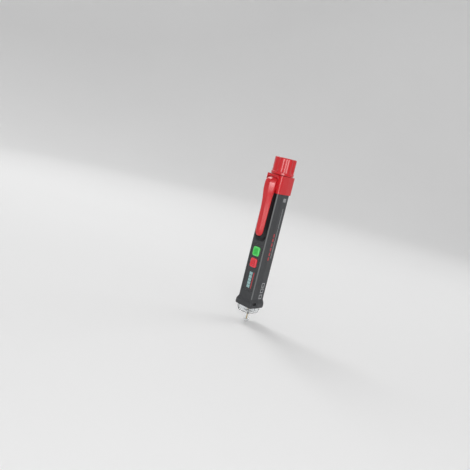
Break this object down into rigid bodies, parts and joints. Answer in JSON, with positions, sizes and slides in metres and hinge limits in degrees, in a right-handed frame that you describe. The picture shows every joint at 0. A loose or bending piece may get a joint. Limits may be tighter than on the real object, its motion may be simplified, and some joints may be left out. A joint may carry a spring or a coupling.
{
  "type": "non contact voltage tester",
  "caption": "Pen-type non contact voltage tester with a clear sensing tip and torch, two keys, a pocket clip and a screw-off battery cap.",
  "frame": {"origin": "centre of the small flat on the end of the sensing tip", "axes": "+Z along the pen from the tip to the end cap; -Y is the front with the keys and the clip; +X is the right side seen from the front"},
  "size_m": [0.021, 0.0282, 0.1586],
  "materials": {
    "shell_plastic": "dark grey fine-grained moulded plastic, satin",
    "panel_plastic": "near-black glossy inlay",
    "red_plastic": "bright red moulded plastic, satin gloss",
    "seal_rubber": "black O-ring rubber",
    "contact_brass": "plain brass",
    "spring_steel": "nickel-plated steel",
    "clear_lens": "clear polycarbonate, polished",
    "green_key": "translucent green key",
    "red_key": "translucent red key",
    "black_plastic": "black component plastic",
    "ivory_plastic": "ivory switch plunger",
    "white_plastic": "white holder plastic",
    "board_laminate": "green solder-masked laminate",
    "chip_epoxy": "black chip epoxy",
    "ceramic_part": "tan ceramic",
    "led_clear": "water-clear LED epoxy",
    "led_red": "red LED epoxy",
    "cell_label": "printed foil sleeve over a cell"
  },
  "bodies": {
    "tester_body": {"front_shell": "shell_plastic", "back_shell": "shell_plastic", "front_panel": "panel_plastic", "tail_collar": "red_plastic", "cap_seal": "seal_rubber", "tip_lens": "clear_lens", "power_switch": "black_plastic", "light_switch": "black_plastic", "circuit_board": "board_laminate", "lower_board_screw": "spring_steel", "upper_board_screw": "spring_steel", "controller_chip": "chip_epoxy", "amplifier_chip": "chip_epoxy", "filter_capacitor": "ceramic_part", "key_light": "led_clear", "buzzer": "black_plastic", "led_holder": "white_plastic", "torch_led": "led_clear", "alarm_led": "led_red", "sensor_antenna": "contact_brass", "front_cell": "cell_label", "rear_cell": "cell_label", "front_contact": "spring_steel", "contact_strip": "spring_steel"},
    "power_button": {"power_button": "green_key"},
    "power_plunger": {"power_switch_plunger": "ivory_plastic"},
    "light_button": {"light_button": "red_key"},
    "light_plunger": {"light_switch_plunger": "ivory_plastic"},
    "clip": {"pocket_clip": "red_plastic"},
    "cap_contact": {"tail_contact": "contact_brass", "tail_spring": "spring_steel"},
    "cap": {"end_cap": "red_plastic"}
  },
  "joints": [
    {"name": "power_button_press", "type": "slide", "parent": "tester_body", "child": "power_button", "axis": [0, 1, 0], "range_m": [0, 0.0005], "stiffness_N_per_m": 800},
    {"name": "power_plunger_press", "type": "slide", "parent": "tester_body", "child": "power_plunger", "axis": [0, 1, 0], "range_m": [0, 0.00035]},
    {"name": "light_button_press", "type": "slide", "parent": "tester_body", "child": "light_button", "axis": [0, 1, 0], "range_m": [0, 0.0005], "stiffness_N_per_m": 800},
    {"name": "light_plunger_press", "type": "slide", "parent": "tester_body", "child": "light_plunger", "axis": [0, 1, 0], "range_m": [0, 0.00035]},
    {"name": "clip_flex", "type": "hinge", "parent": "tester_body", "child": "clip", "pos_m": [0, -0.01035, 0.1394], "axis": [-1, 0, 0], "range_deg": [0, 5], "stiffness_Nm_per_rad": 1.2},
    {"name": "cap_travel", "type": "slide", "parent": "tester_body", "child": "cap_contact", "axis": [0, 0, 1], "range_m": [0, 0.012]},
    {"name": "cap_twist", "type": "hinge", "parent": "cap_contact", "child": "cap", "pos_m": [0, 0, 0.15], "axis": [0, 0, 1], "range_deg": [0, 1440]}
  ],
  "couplings": [
    {"joint": "power_plunger_press", "follows": "power_button_press", "ratio": 0.6},
    {"joint": "light_plunger_press", "follows": "light_button_press", "ratio": 0.6},
    {"joint": "cap_travel", "follows": "cap_twist", "m_per_rad": 0.00047746}
  ]
}
